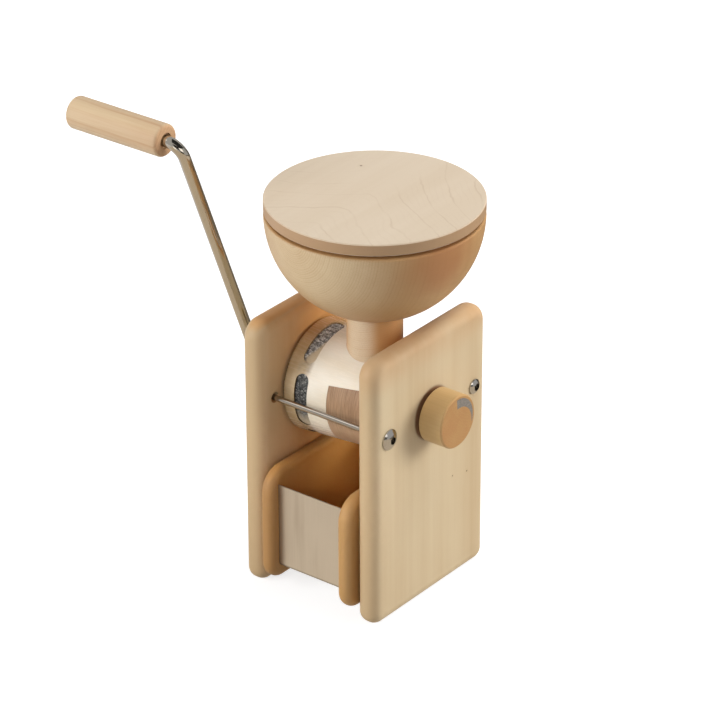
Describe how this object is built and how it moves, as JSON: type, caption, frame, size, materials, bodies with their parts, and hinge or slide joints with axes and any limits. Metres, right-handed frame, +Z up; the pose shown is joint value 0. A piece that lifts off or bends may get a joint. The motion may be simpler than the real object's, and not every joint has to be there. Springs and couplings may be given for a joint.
{
  "type": "hand grain mill",
  "caption": "Wooden hand grain mill: turned stone drum between side panels, half-round hopper with lid, bent steel crank, fineness knob and flour drawer.",
  "frame": {"origin": "on the floor under the middle of the mill, between the side panels", "axes": "+X towards the knob side, -Y towards the front where the drawer opens, +Z up"},
  "size_m": [0.3259, 0.1904, 0.3997],
  "materials": {
    "beech": "oiled, satin",
    "drum_beech": "turned, satin",
    "end_grain": "end grain, matt",
    "knob_beech": "oiled end grain, satin",
    "dowel_beech": "plain, matt",
    "stone": "rough speckled stone",
    "mark": "printed, matt",
    "steel": "bright, polished",
    "sheet_steel": "brushed sheet",
    "brass": "turned, plain"
  },
  "bodies": {
    "frame": {"left_panel": "beech", "right_panel": "beech", "base_board": "beech", "base_dowels": "dowel_beech", "front_tie_rod": "steel", "rear_tie_rod": "steel", "left_tie_nuts": "steel", "right_tie_nuts": "steel", "drum_shell": "drum_beech", "drum_inlay": "end_grain", "fixed_stone": "stone", "feed_block": "beech", "sleeve_guide": "brass", "guide_pin": "steel", "left_bearing": "brass", "spindle_bush": "brass", "hopper_neck": "beech", "hopper_bowl": "beech"},
    "lid": {"lid": "beech"},
    "drawer": {"drawer_left_side": "beech", "drawer_right_side": "beech", "drawer_pan": "sheet_steel", "drawer_back": "beech", "drawer_dowels": "dowel_beech"},
    "knob": {"knob": "knob_beech", "knob_mark": "mark", "knob_screw": "steel", "adjusting_spindle": "steel"},
    "thrust_sleeve": {"thrust_sleeve": "brass"},
    "rotor": {"main_shaft": "steel", "stone_hub": "steel", "drive_pin": "steel", "running_stone": "stone", "feed_screw": "steel", "shaft_ring": "steel", "crank_coupling": "steel", "coupling_screws": "steel", "crank_rod": "steel", "grip_ring": "steel"},
    "grip": {"grip": "beech", "grip_plug": "dowel_beech"}
  },
  "joints": [
    {"name": "lid_lift", "type": "slide", "parent": "frame", "child": "lid", "axis": [0, 0, 1], "range_m": [0, 0.08]},
    {"name": "drawer_slide", "type": "slide", "parent": "frame", "child": "drawer", "axis": [0, -1, 0], "range_m": [0, 0.12]},
    {"name": "knob_turn", "type": "hinge", "parent": "frame", "child": "knob", "pos_m": [0.08, 0, 0.169], "axis": [1, 0, 0], "range_deg": [-144, 144]},
    {"name": "sleeve_slide", "type": "slide", "parent": "frame", "child": "thrust_sleeve", "axis": [1, 0, 0], "range_m": [-0.00061, 0.00061]},
    {"name": "crank_turn", "type": "hinge", "parent": "thrust_sleeve", "child": "rotor", "pos_m": [0, 0, 0.169], "axis": [1, 0, 0], "continuous": true},
    {"name": "grip_spin", "type": "hinge", "parent": "rotor", "child": "grip", "pos_m": [-0.178, -0.08766, 0.38596], "axis": [1, 0, 0], "continuous": true}
  ],
  "couplings": [
    {"joint": "sleeve_slide", "follows": "knob_turn", "m_per_rad": -0.00023873}
  ]
}
